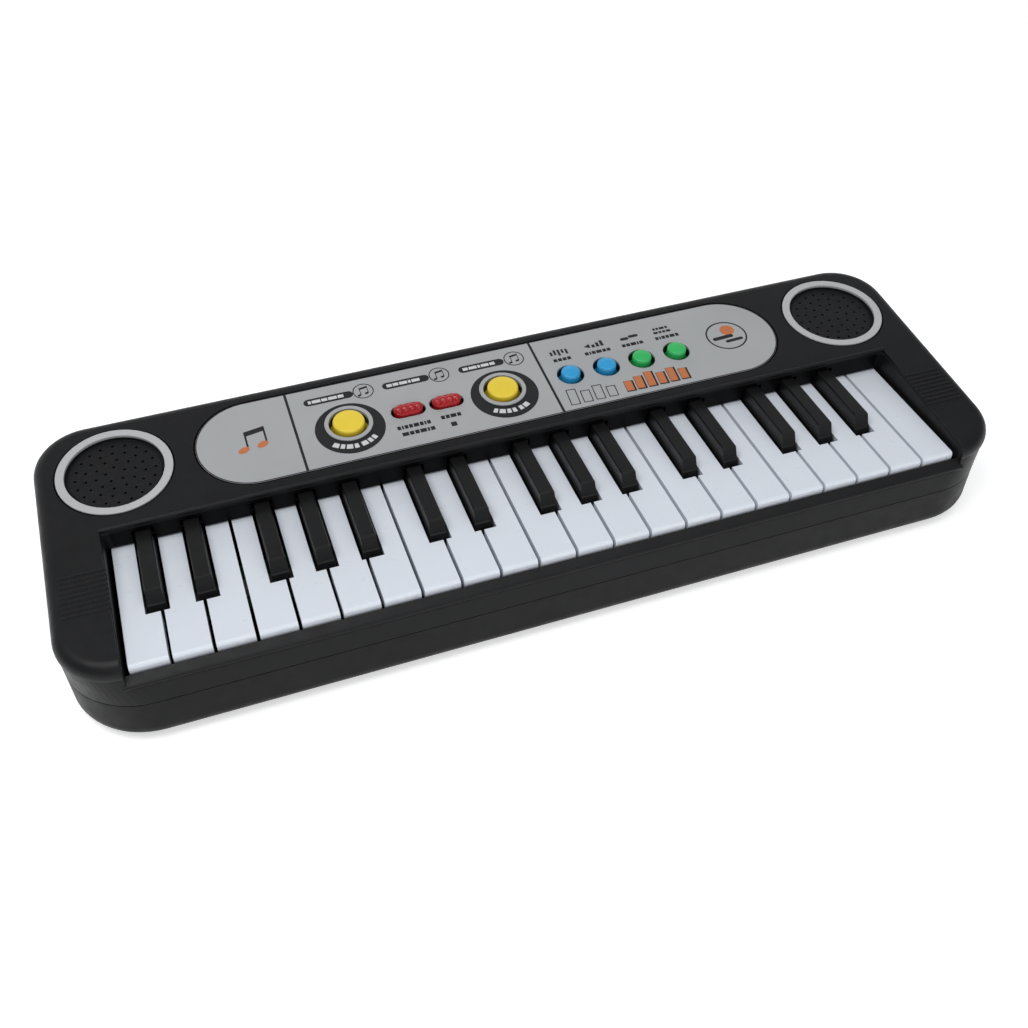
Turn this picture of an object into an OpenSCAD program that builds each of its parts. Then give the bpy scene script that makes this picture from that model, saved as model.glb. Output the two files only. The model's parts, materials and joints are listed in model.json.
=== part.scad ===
// Toy electronic keyboard with 37 keys, in millimetres.
// The player sits on the -Y side, +X runs toward the high notes and the feet stand on z = 0.
// Depths named "from the key fronts" are measured toward the rear.

/* [Case] */
// Length of the instrument at the parting line
case_w = 412; // [410:1:416]
// Depth of the instrument at the parting line
case_d = 137.8; // [137.4:0.2:139]
// Height of the parting line between the two case halves
split_z = 22.9; // [22:0.1:24]
// Plan radius of the corners at the parting line and below
case_corner_r = 33; // [31:1:35]
// Plan radius of the corners of the top
top_corner_r = 23.5; // [22:0.5:25]
// Rounding of the lower edge
lower_edge_r = 7; // [5:0.5:8]
// Rounding of the upper edge
upper_edge_r = 5.5; // [4:0.5:6.5]
// Wall thickness of the case halves
wall = 2.4; // [2:0.1:2.8]
// Thickness of the top plate
plate_t = 3; // [2.6:0.1:3.4]
// Slope of the top plate, falling toward the player, in degrees
plate_tilt = 5.4; // [5:0.1:5.8]
// Height of the feet
foot_h = 1; // [0.6:0.1:1.2]

/* [Keys] */
// Distance from one white key to the next
key_pitch = 16.4; // [16.2:0.1:16.5]
// Height of the white key tops above the table
key_top_z = 37.7; // [37:0.1:38.5]
// Gap between neighbouring white keys
key_gap = 1.4; // [1:0.1:1.6]
// Width of a black key at its base
black_w = 7.2; // [7:0.1:7.6]
// Width of a black key at its top
black_top_w = 5.7; // [5.4:0.1:6]
// Height of the black keys above the white ones
black_h = 7; // [6:0.1:7.4]
// Width of the notches in the white keys that the black keys stand in
notch_w = 9.6; // [9.4:0.1:10]
// Front of those notches, from the white key fronts
notch_front = 24.4; // [23:0.1:26]
// Diameter of the steel rod that the keys turn on
rod_d = 3; // [2.8:0.1:3.2]

/* [Control panel] */
// Half length of the silver panel
panel_half_w = 138.1; // [136:0.1:139]
// Front edge of the panel, measured up the slope from the key well
panel_s0 = 6.9; // [6:0.1:8]
// Rear edge of the panel, measured up the slope from the key well
panel_s1 = 56.1; // [55:0.1:57]
// Radius of the holes for the yellow buttons
yellow_hole_r = 8.9; // [8.6:0.1:9.2]
// Radius of the holes for the blue and green buttons
small_hole_r = 6.4; // [6.2:0.1:6.6]
// Distance between the blue and green buttons
small_pitch = 17.87; // [17.5:0.01:18]

/* [Speakers] */
// Distance of each speaker from the middle of the instrument
speaker_x = 171.97; // [171:0.01:172.5]
// Place of the speakers, measured up the slope from the key well
speaker_s = 32; // [31.5:0.1:32.5]
// Outer radius of the silver ring
ring_r = 24.2; // [23.8:0.1:24.6]
// Inner radius of the silver ring
ring_in_r = 20.7; // [20.4:0.1:21]

/* [Battery compartment] */
// Half length of the battery pocket
pocket_half_w = 30; // [29.5:0.1:31]
// Front wall of the pocket, from the key fronts
pocket_y0 = 60; // [59:0.1:61]
// Rear wall of the pocket, from the key fronts
pocket_y1 = 125; // [124:0.1:125]

/* [Hidden] */
octave_steps = [1, 2, 4, 5, 6];
octave_shift = [-0.105, 0.085, -0.13, 0, 0.15];
octaves = 3;
white_count = 7 * octaves + 1;
black_count = 5 * octaves;
small_button_names = ["blue_button_left", "blue_button_right", "green_button_left", "green_button_right"];

function two_digits(i) = str(i < 10 ? "0" : "", i);
function white_name(i) = str("white_key_", two_digits(i));
function black_name(i) = str("black_key_", two_digits(i));

// Places along the case
skirt_front = 7.2;
key_front_y = skirt_front - case_d / 2;
case_rear = case_d - skirt_front;
split_gap = 0.4;
// Well of the keys
well_half_w = 11.09 * key_pitch;
bead_y = 64.26;
bead_z = key_top_z + 11.2;
bead_r = 0.9;
rail_z = key_top_z - 4.9;
rail_t = 2.4;
rail_rear = -0.9;
rail_rear_z = key_top_z - 3;
rail_nose = -4.5;
// The plateau in its own sloping frame
block_half_w = case_w / 2 - 0.6;
block_s0 = -68.9;
block_s1 = 64.4;
block_h = 6.2;
crease_h = 5.4;
crease_step = 0.5;
seat_gap = 0.8;
grille_floor_r = 19.3;
grille_groove = 0.5;
grille_pitch = 4.15;
grille_hole_r = 0.65;
ring_seat = 0.9;
ring_rise = 0.3;
button_ring_w = 1.8;
panel_t = 1.2;
panel_gap = 0.9;
rib_x = 190.6;
rib_s0 = -39.4;
rib_pitch = 2.45;
rib_size = [18.4, 0.9, 0.8];
rib_rise = 0.3;
grille_depth = 1.8;
// Keys
key_h = 7;
key_rear = 66;
key_nose_r = 1.6;
key_wall = 1.3;
pivot_y = 74;
pivot_z = 33;
eye_r = 3.2;
rod_clearance = 0.06;
arm_h = 5;
white_arm_w = 6;
black_arm_w = 5;
black_front = notch_front + 2.2;
plunger_y = 38;
plunger_z = 29;
// Boards
key_board_z = 22;
board_t = 1.6;
main_board_h = -13.6;
dome_base_t = 0.8;
// Screws: left and right of the middle, and depth from the key fronts
screw_places = [[192, 14], [192, 62], [155, 119], [62, 119]];
foot_places = [14, 111];
// Battery door: half width, half width over its tongues, length, gap all round
door_half_w = 33;
tongue_half_w = 34.6;
door_l = 80;
door_gap = 0.3;
cell_pitch = 14.25;
cell_r = 7;
// Power switch: left edge, height below the plate and size of its slot
switch_x = -124.4;
switch_h = -11.6;
switch_slot = [8.8, 8, 4.2];
switch_play = 0.4;
screw_head_z = 12;
screw_end_z = 31;
// Buttons, up the slope and along the case
red_s = 29.4;
red_left_x = -44.5;
red_right_x = -26.7;
red_half_l = 6.5;
red_half_w = 3.4;
red_hole = [8, 4];
bump_pitch = 2.9;
bump_r = 2.4;
bump_z = 0.9;
yellow_s = 29.4;
yellow_left_x = -71.65;
yellow_right_x = 0;
small_s = 29.3;
small_x0 = 33.16;
flange_h = -5.6;
flange_t = 0.8;
flange_w = 0.7;
collar_h = -5.5;
collar_t = 1.2;
stem_r = 2.4;
stem_end_h = -8.4;
// Caps of the round buttons: radius at the base, radius at the top, height above the panel
yellow_cap = [7.1, 6.2, 1.9];
small_cap = [4.5, 3.6, 2.2];

function kx(n) = (n - white_count / 2) * key_pitch;
function ky(d) = key_front_y + d;
function black_x(i) =
    let (o = floor((i - 1) / 5), j = (i - 1) % 5) kx(7 * o + octave_steps[j] + octave_shift[j]);
// Roof of the case above a place, from the key fronts
function roof_z(d) = bead_z + (d - bead_y) * tan(plate_tilt) - plate_t;
// Black keys that bite into white key i
function biting(i) = [for (b = [1:black_count]) if (abs(black_x(b) - kx(i - 0.5)) < key_pitch) black_x(b)];
function rear_left(i) =
    max(concat([kx(i - 1) + key_gap / 2],
        [for (b = biting(i)) if (b < kx(i - 0.5)) b + notch_w / 2]));
function rear_right(i) =
    min(concat([kx(i) - key_gap / 2],
        [for (b = biting(i)) if (b > kx(i - 0.5)) b - notch_w / 2]));

// Puts a shape in the sloping frame of the top plate: x, distance up the slope, height above the plate
module on_plate() {
    translate([0, ky(bead_y), bead_z]) rotate([plate_tilt, 0, 0]) children();
}

module rounded_rect(half_w, y0, y1, r) {
    translate([-half_w + r, y0]) square([2 * (half_w - r), y1 - y0]);
    translate([-half_w, y0 + r]) square([2 * half_w, y1 - y0 - 2 * r]);
    for (x = [-half_w + r, half_w - r], y = [y0 + r, y1 - r]) {
        translate([x, y]) circle(r, $fn = 64);
    }
}

module stadium(half_l, half_w) {
    square([2 * (half_l - half_w), 2 * half_w], center = true);
    for (x = [-1, 1]) {
        translate([x * (half_l - half_w), 0]) circle(half_w, $fn = 48);
    }
}

// Upper half of a bar's section: square below, rounded by e along the top
module rounded_top(w, h, e) {
    square([w, h - e]);
    translate([e, 0]) square([w - 2 * e, h]);
    for (x = [e, w - e]) {
        translate([x, h - e]) circle(e, $fn = 48);
    }
}

// Block from z = -h to z = 0 with round plan corners and a rounded top edge
module rounded_block(half_w, y0, y1, r, e, h) {
    translate([0, 0, -h]) {
        for (sx = [-1, 1], sy = [-1, 1]) {
            translate([sx * (half_w - r), sy > 0 ? y1 - r : y0 + r, 0])
                rotate([0, 0, sx > 0 ? (sy > 0 ? 0 : 270) : (sy > 0 ? 90 : 180)])
                rotate_extrude(angle = 90, $fn = 96) intersection() {
                    translate([-r, 0]) rounded_top(2 * r, h, e);
                    square([r, h]);
                }
        }
        translate([-half_w + r, y0, 0]) rotate([90, 0, 90])
            linear_extrude(2 * (half_w - r)) rounded_top(y1 - y0, h, e);
        translate([half_w, y0 + r, 0]) rotate([90, 0, 180])
            linear_extrude(y1 - y0 - 2 * r) rounded_top(2 * half_w, h, e);
    }
}

// Band between height z and the crease at height -h of the top,
// drawn in by "inset", and by "step" more at the crease
module skirt(inset, step, z, h) {
    hull() {
        translate([0, 0, z]) linear_extrude(0.01)
            rounded_rect(case_w / 2 - inset, ky(-skirt_front) + inset, ky(case_rear) - inset,
                case_corner_r - inset);
        on_plate() translate([0, 0, -h]) linear_extrude(0.01)
            rounded_rect(block_half_w - inset - step, block_s0 + inset + step, block_s1 - inset - step,
                top_corner_r - inset - step);
    }
}

module at_screws() {
    for (p = screw_places, sx = [-1, 1]) {
        translate([sx * p[0], ky(p[1]), 0]) children();
    }
}

module speaker_places() {
    on_plate() for (sx = [-1, 1]) {
        translate([sx * speaker_x, speaker_s, 0]) mirror([sx < 0 ? 1 : 0, 0, 0]) children();
    }
}

// Openings for the buttons, made larger by "grow"
module button_holes(grow = 0) {
    for (x = [yellow_left_x, yellow_right_x]) {
        translate([x, yellow_s]) circle(yellow_hole_r + grow, $fn = 64);
    }
    for (x = [red_left_x, red_right_x]) {
        translate([x, red_s]) stadium(red_hole[0] + grow, red_hole[1] + grow);
    }
    for (i = [0:3]) {
        translate([small_x0 + i * small_pitch, small_s]) circle(small_hole_r + grow, $fn = 48);
    }
}

module upper_case() color("#28292c") {
    difference() {
        union() {
            skirt(0, crease_step, split_z, crease_h);
            on_plate() rounded_block(block_half_w, block_s0, block_s1, top_corner_r, upper_edge_r, block_h);
        }
        // Hollow inside
        skirt(wall, crease_step, split_z - 1, crease_h - 0.4);
        on_plate() translate([0, 0, -plate_t])
            rounded_block(block_half_w - wall, block_s0 + wall, block_s1 - wall, top_corner_r - wall,
                upper_edge_r - wall, block_h - plate_t + 1);
        // Key well, open at the front
        translate([-well_half_w, ky(-20), rail_z - 1.9]) cube([2 * well_half_w, 20 + bead_y - 0.3, 60]);
        // Seat of the panel and the button holes below it
        on_plate() translate([0, (panel_s0 + panel_s1) / 2, -panel_t]) linear_extrude(panel_t + 1)
            stadium(panel_half_w + panel_gap, (panel_s1 - panel_s0) / 2 + panel_gap);
        on_plate() translate([0, 0, -plate_t - 1]) linear_extrude(plate_t + 2) button_holes();
        // Seats of the speaker rings, with the grille below them
        speaker_places() {
            translate([0, 0, -ring_seat]) cylinder(h = 2, r = ring_r + seat_gap, $fn = 96);
            translate([0, 0, -grille_depth]) cylinder(h = 3, r = ring_in_r - 0.1, $fn = 96);
            translate([0, 0, -grille_depth - grille_groove]) difference() {
                cylinder(h = 1, r = ring_in_r - 0.1, $fn = 96);
                translate([0, 0, -1]) cylinder(h = 3, r = grille_floor_r, $fn = 96);
            }
            for (ring = [1:4], k = [0:5 * ring - 1]) {
                rotate(360 * k / (5 * ring) + 14 * ring) translate([grille_pitch * ring, 0, -plate_t - 1])
                    cylinder(h = 3, r = grille_hole_r, $fn = 16);
            }
        }
        // Slot for the power switch
        on_plate() translate([switch_x, block_s1 - 5.4, switch_h]) cube(switch_slot);
    }
    // Side walls of the key well
    on_plate() for (x = [-well_half_w - 2, well_half_w - 0.25]) {
        translate([x, block_s0 + wall - 0.6, -17]) cube([2.25, 2.4 - block_s0 - wall, 15.5]);
    }
    // Rear wall of the key well, with a pocket over each black key
    difference() {
        on_plate() translate([-well_half_w - 1.8, -0.7, -10.3]) cube([2 * well_half_w + 3.6, 2.3, 9]);
        for (i = [1:black_count]) {
            translate([black_x(i) - black_w / 2 - 0.8, ky(bead_y - 5), 0])
                cube([black_w + 1.6, 12, key_top_z + black_h + 0.9]);
        }
    }
    on_plate() translate([-well_half_w - 0.6, 0.5, 0]) rotate([0, 90, 0])
        cylinder(h = 2 * well_half_w + 1.2, r = bead_r, $fn = 32);
    // Front rail with its rounded nose
    translate([-well_half_w - 1, 0, 0]) rotate([90, 0, 90]) linear_extrude(2 * well_half_w + 2) {
        polygon([
            [ky(rail_nose), rail_z - rail_t], [ky(rail_rear), rail_z - rail_t],
            [ky(rail_rear), rail_rear_z], [ky(rail_nose), rail_z + 0.2]
        ]);
        translate([ky(rail_nose), rail_z - 0.8]) circle(1, $fn = 32);
    }
    // Guide collars below the button holes
    on_plate() translate([0, 0, collar_h]) linear_extrude(-plate_t - collar_h + 0.1) difference() {
        button_holes(collar_t);
        button_holes(0.2);
    }
    // Finger ribs on the two cheeks
    on_plate() for (sx = [-1, 1], k = [0:8]) {
        translate([sx * rib_x - rib_size[0] / 2, rib_s0 + rib_pitch * k, rib_rise - rib_size[2]])
            cube(rib_size);
    }
    // Screw bosses
    for (p = screw_places, sx = [-1, 1]) {
        translate([sx * p[0], ky(p[1]), split_z]) difference() {
            cylinder(h = roof_z(p[1]) - split_z + 0.6, r = 3.6, $fn = 32);
            translate([0, 0, -1]) cylinder(h = screw_end_z - split_z + 2, r = 1.3, $fn = 24);
        }
    }
}

module lower_case() color("#2b2c2f") {
    top = split_z - split_gap;
    lip_in = wall + 0.8;
    pocket_top = 20;
    difference() {
        union() {
            difference() {
                translate([0, 0, foot_h]) mirror([0, 0, 1])
                    rounded_block(case_w / 2, ky(-skirt_front), ky(case_rear), case_corner_r, lower_edge_r,
                        top - foot_h);
                translate([0, 0, foot_h + wall]) mirror([0, 0, 1])
                    rounded_block(case_w / 2 - wall, ky(-skirt_front) + wall, ky(case_rear) - wall,
                        case_corner_r - wall, lower_edge_r - wall, top - foot_h);
            }
            // Battery pocket and the thick floor beside the door
            translate([-pocket_half_w - 2, ky(pocket_y0 - 2), foot_h + wall - 0.5])
                cube([2 * pocket_half_w + 4, case_rear - pocket_y0 + 0.6, pocket_top - foot_h - wall + 0.5]);
            for (x = [-38, 32.6]) {
                translate([x, ky(pocket_y0 - 3), foot_h + wall - 0.5])
                    cube([5.4, case_rear - pocket_y0 + 1.6, 2.4]);
            }
            // Posts under the case screws
            at_screws() translate([0, 0, foot_h + 1]) cylinder(h = split_z - foot_h - 1, r = 4.4, $fn = 32);
        }
        translate([-pocket_half_w, ky(pocket_y0), -1])
            cube([2 * pocket_half_w, pocket_y1 - pocket_y0, pocket_top - 1]);
        // Seat and grooves of the battery door
        translate([-door_half_w - door_gap, ky(pocket_y0 - 3) - door_gap, -1])
            cube([2 * (door_half_w + door_gap), door_l, 4.2 + door_gap]);
        translate([-tongue_half_w - door_gap, ky(pocket_y0 - 3) - door_gap, 1.9])
            cube([2 * (tongue_half_w + door_gap), door_l, 1.3]);
        at_screws() {
            translate([0, 0, -1]) cylinder(h = screw_head_z + 3.4, r = 3.2, $fn = 32);
            cylinder(h = 40, r = 1.6, $fn = 24);
        }
    }
    // Lip that locates the upper half
    difference() {
        translate([0, 0, top - 4]) linear_extrude(4) difference() {
            rounded_rect(case_w / 2 - 1.6, ky(-skirt_front) + 1.6, ky(case_rear) - 1.6, case_corner_r - 1.6);
            rounded_rect(case_w / 2 - lip_in - 1.4, ky(-skirt_front) + lip_in + 1.4,
                ky(case_rear) - lip_in - 1.4, case_corner_r - lip_in - 1.4);
        }
        at_screws() cylinder(h = 40, r = 4, $fn = 32);
    }
    difference() {
        translate([0, 0, top - 1]) linear_extrude(2.6) difference() {
            rounded_rect(case_w / 2 - lip_in, ky(-skirt_front) + lip_in, ky(case_rear) - lip_in,
                case_corner_r - lip_in);
            rounded_rect(case_w / 2 - lip_in - 1.4, ky(-skirt_front) + lip_in + 1.4,
                ky(case_rear) - lip_in - 1.4, case_corner_r - lip_in - 1.4);
        }
        at_screws() cylinder(h = 40, r = 4.4, $fn = 32);
    }
    for (x = [-180, 180], y = foot_places) {
        translate([x, ky(y), 0]) cylinder(h = foot_h + 0.5, r = 6, $fn = 48);
    }
    // Posts that hold the pivot rod, and ribs under the key board
    for (x = [kx(0) - 1, kx(7), kx(14), kx(white_count) + 1]) {
        translate([x - 1, ky(pivot_y - 4), foot_h + wall - 0.5]) difference() {
            cube([2, 8, pivot_z + 3 - foot_h - wall + 0.5]);
            translate([-1, 4, pivot_z - foot_h - wall + 0.5]) rotate([0, 90, 0])
                cylinder(h = 4, r = rod_d / 2 + 0.05, $fn = 32);
        }
    }
    for (n = [0.4, 3, 7, 11, 15, 19, 21.6]) {
        translate([kx(n) - 1, ky(29), foot_h + wall - 0.5])
            cube([2, 22, key_board_z - foot_h - wall + 0.5]);
    }
}

module battery_door() color("#2b2c2f") {
    translate([0, 0, foot_h]) {
        intersection() {
            mirror([0, 0, 1]) rounded_block(case_w / 2, ky(-skirt_front), ky(case_rear), case_corner_r,
                lower_edge_r, 10);
            translate([-door_half_w, ky(pocket_y0 - 3), -1]) cube([2 * door_half_w, door_l, 3.2]);
        }
        // Tongues that run in the grooves of the lower case
        translate([-tongue_half_w, ky(pocket_y0), 1.05]) cube([2 * tongue_half_w, 40, 0.95]);
    }
}

module control_panel() color("#a9abad") {
    difference() {
        on_plate() translate([0, 0, -panel_t]) linear_extrude(panel_t) difference() {
            translate([0, (panel_s0 + panel_s1) / 2]) stadium(panel_half_w, (panel_s1 - panel_s0) / 2);
            button_holes();
        }
        // Engraved lines between the three fields
        on_plate() for (n = [5.215, 12.32]) {
            translate([kx(n) - 0.3, panel_s0 - 1, -0.3]) cube([0.6, panel_s1 - panel_s0 + 2, 1]);
        }
    }
    // Raised rings round the yellow buttons
    on_plate() for (x = [yellow_left_x, yellow_right_x]) {
        translate([x, yellow_s, -0.2]) linear_extrude(0.7) difference() {
            circle(yellow_hole_r + button_ring_w, $fn = 64);
            circle(yellow_hole_r, $fn = 64);
        }
    }
}

module speaker_rings() color("#b4b6b8") {
    speaker_places() translate([0, 0, -ring_seat]) linear_extrude(ring_seat + ring_rise) difference() {
        circle(ring_r, $fn = 96);
        circle(ring_in_r, $fn = 96);
    }
}

module speakers() color("#3a3a3c") {
    speaker_places() rotate_extrude($fn = 96) polygon([
        [0, -20], [11, -20], [11, -14], [13, -14], [19, -7.4], [20, -7.4], [20, -4.2], [18, -4.2],
        [18, -6], [7, -10.5], [4, -8.5], [0, -7.6]
    ]);
}

module main_board() color("#2f6b43") {
    on_plate() {
        translate([-128, 15, main_board_h]) cube([240, 32, board_t]);
        translate([-128, 45, main_board_h]) cube([17, 13, board_t]);
        // Covered chip, capacitors and the body of the power switch
        translate([88, 40.5, main_board_h + board_t - 0.1]) cylinder(h = 1.3, r = 5.5, $fn = 32);
        for (x = [62, 72]) {
            translate([-x - 30, 40, main_board_h - 7]) cylinder(h = 7.1, r = 2.5, $fn = 24);
        }
        translate([-126, 53, main_board_h + board_t - 0.1]) cube([13, 5.4, 5.1]);
    }
    // Posts down from the top plate
    on_plate() for (x = [-110, 106], s = [19, 43]) {
        translate([x, s, main_board_h + board_t - 0.1]) difference() {
            cylinder(h = -main_board_h - board_t - plate_t + 0.1, r = 3, $fn = 24);
            translate([0, 0, 2]) cylinder(h = 20, r = 1.2, $fn = 24);
        }
    }
}

module key_board() color("#3b7a4c") {
    translate([kx(0.1), ky(28), key_board_z]) cube([kx(white_count - 0.1) - kx(0.1), 24, board_t]);
}

// Centre of the arm of white key i, behind the black keys
function arm_x(i) = (rear_left(i) + rear_right(i)) / 2;

module rubber_domes() color("#8d9093") {
    translate([kx(0.2), ky(plunger_y - 4.5), key_board_z + board_t])
        cube([kx(white_count - 0.2) - kx(0.2), 9, dome_base_t]);
    for (x = concat([for (i = [1:white_count]) arm_x(i)], [for (i = [1:black_count]) black_x(i)])) {
        translate([x, ky(plunger_y), key_board_z + board_t + dome_base_t - 0.1])
            cylinder(h = plunger_z - 0.1 - key_board_z - board_t - dome_base_t + 0.1, r = 2.6, $fn = 24);
    }
    on_plate() {
        base_h = main_board_h + board_t;
        translate([-80, 22, base_h]) cube([176, 12, dome_base_t]);
        for (p = button_places()) {
            translate([p[0], p[1], base_h + dome_base_t - 0.1])
                cylinder(h = stem_end_h - 0.1 - base_h - dome_base_t + 0.1, r = 2.6, $fn = 24);
        }
    }
}

function button_places() = concat(
    [[yellow_left_x, yellow_s], [yellow_right_x, yellow_s], [red_left_x, red_s], [red_right_x, red_s]],
    [for (i = [0:3]) [small_x0 + i * small_pitch, small_s]]
);

module key_pivot_rod() color("#c4c6c8") {
    translate([kx(0) - 3, ky(pivot_y), pivot_z]) rotate([0, 90, 0])
        cylinder(h = kx(white_count) - kx(0) + 6, d = rod_d, $fn = 32);
}

// Axis of each of the four cells
module cell_places() {
    for (k = [0:3]) {
        translate([0, ky(pocket_y0 + 9.7 + k * cell_pitch), foot_h + 9.6])
            rotate([0, k % 2 == 0 ? 90 : -90, 0]) children();
    }
}

module batteries() color("#c07a2e") {
    half_l = 24.5;
    cap_r = 2.7;
    cell_places() rotate_extrude($fn = 48) polygon([
        [0, -half_l], [cell_r, -half_l], [cell_r, half_l],
        [cap_r, half_l], [cap_r, half_l + 1.3], [0, half_l + 1.3]
    ]);
}

// A plate with a short stud at the cap and a longer one at the flat end of each cell
module battery_contacts() color("#d0d2d4") {
    plate_x = 29.7;
    cell_places() for (end = [-1, 1]) {
        translate([0, 0, end * plate_x]) mirror([0, 0, end > 0 ? 1 : 0]) {
            translate([-5, -5, 0]) cube([10, 10, 0.6]);
            cylinder(h = end > 0 ? 3.4 : 4.8, r = 3, $fn = 24);
        }
    }
}

module screws() color("#b9bbbd") {
    at_screws() translate([0, 0, screw_head_z]) {
        difference() {
            cylinder(h = 2.3, r = 2.8, $fn = 32);
            for (a = [0, 90]) {
                rotate(a) translate([-1.7, -0.35, -1]) cube([3.4, 0.7, 2]);
            }
        }
        translate([0, 0, 2]) cylinder(h = screw_end_z - screw_head_z - 2, r = 1.25, $fn = 24);
    }
}

// A wire through the listed points
module wire(points, r = 0.7) {
    for (k = [0:len(points) - 2]) {
        a = points[k];
        d = points[k + 1] - a;
        translate(a) rotate([0, acos(d[2] / norm(d)), atan2(d[1], d[0])])
            cylinder(h = norm(d), r = r, $fn = 16);
        translate(points[k + 1]) sphere(r * 1.05, $fn = 16);
    }
}

module wires() {
    color("#b02b25") for (sx = [-1, 1]) {
        wire([[sx * 106, ky(92), 37.1], [sx * 124, ky(92), 31], [sx * 150, ky(97), 29],
            [sx * 162, ky(97), 30.9]]);
    }
    color("#1d1d1f") for (y = [88, 98]) {
        wire([[-32.2, ky(y), 12], [-44, ky(y), 14], [-44, ky(y), 30], [-52, ky(y), 36.7]]);
    }
}

module power_switch_knob() color("#1c1d1f") {
    on_plate() translate([switch_x + switch_play, block_s1 - 5.6, switch_h + switch_play])
        cube([4, 6.6, switch_slot[2] - 2 * switch_play]);
}

// Round button with a flange below its guide collar and a stem down to its dome
module round_button(x, s, cap, hole_r) {
    r = cap[0];
    top_r = cap[1];
    h = cap[2];
    shoulder_h = 0.35 * h;
    crown = 0.3;
    on_plate() translate([x, s, 0]) rotate_extrude($fn = 64) polygon(concat(
        [[0, stem_end_h], [stem_r, stem_end_h], [stem_r, flange_h - flange_t],
            [hole_r + flange_w, flange_h - flange_t], [hole_r + flange_w, flange_h], [r, flange_h]],
        [for (k = [0:5]) [r + (top_r - r) * (1 - cos(18 * k)), shoulder_h + (h - shoulder_h) * sin(18 * k)]],
        [[top_r / 2, h + crown * 0.8], [0, h + crown]]
    ));
}

// Oblong button with a row of soft bumps along its top
module oblong_button(x) {
    on_plate() translate([x, red_s, 0]) {
        translate([0, 0, flange_h - 0.1]) linear_extrude(1.3 - flange_h) stadium(red_half_l, red_half_w);
        translate([0, 0, flange_h - flange_t]) linear_extrude(flange_t)
            stadium(red_hole[0] + flange_w, red_hole[1] + flange_w);
        translate([0, 0, stem_end_h]) cylinder(h = flange_h - stem_end_h, r = stem_r, $fn = 24);
        for (k = [-1.5, -0.5, 0.5, 1.5]) {
            translate([k * bump_pitch, 0, bump_z]) sphere(r = bump_r, $fn = 48);
        }
    }
}

module yellow_button(x) color("#ecd234") {
    round_button(x, yellow_s, yellow_cap, yellow_hole_r);
}

module small_button(i) color(i < 2 ? "#2f9bd8" : "#2fb457") {
    round_button(small_x0 + i * small_pitch, small_s, small_cap, small_hole_r);
}

module red_button(x) color("#c0272c") {
    oblong_button(x);
}

// Arm and eye that join a key to the pivot rod
module key_arm(x, w) {
    translate([x - w / 2, ky(key_rear - 5), pivot_z - 2.5]) cube([w, pivot_y - key_rear + 5, arm_h]);
    translate([x - w / 2, ky(pivot_y), pivot_z]) rotate([0, 90, 0]) cylinder(h = w, r = eye_r, $fn = 32);
}

module key_bore(x, w) {
    translate([x - w / 2 - 1, ky(pivot_y), pivot_z]) rotate([0, 90, 0])
        cylinder(h = w + 2, r = rod_d / 2 + rod_clearance, $fn = 32);
}

// Peg that presses the rubber dome, up to height z
module plunger(x, z) {
    translate([x, ky(plunger_y), plunger_z]) cylinder(h = z - plunger_z, r = 2, $fn = 24);
}

module white_key(i) color("#dfe3ea") {
    x0 = kx(i - 1) + key_gap / 2;
    x1 = kx(i) - key_gap / 2;
    notch_y = ky(notch_front);
    difference() {
        union() {
            difference() {
                translate([x0, ky(0), key_top_z - key_h]) rotate([90, 0, 90]) linear_extrude(x1 - x0) {
                    square([key_rear, key_h - key_nose_r]);
                    translate([key_nose_r, 0]) square([key_rear - key_nose_r, key_h]);
                    translate([key_nose_r, key_h - key_nose_r]) circle(key_nose_r, $fn = 32);
                }
                // Notches for the neighbouring black keys
                translate([x0 - 1, notch_y, 0]) cube([rear_left(i) - x0 + 1, 60, 60]);
                translate([rear_right(i), notch_y, 0]) cube([x1 - rear_right(i) + 1, 60, 60]);
                // Hollow underside
                translate([x0 + key_wall, ky(2), 0])
                    cube([x1 - x0 - 2 * key_wall, notch_front - key_wall - 2, key_top_z - 1.8]);
                translate([rear_left(i) + key_wall, ky(2), 0])
                    cube([rear_right(i) - rear_left(i) - 2 * key_wall, key_rear - 7, key_top_z - 1.8]);
            }
            key_arm(arm_x(i), white_arm_w);
            plunger(arm_x(i), key_top_z - 1);
        }
        key_bore(arm_x(i), white_arm_w);
    }
}

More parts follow.
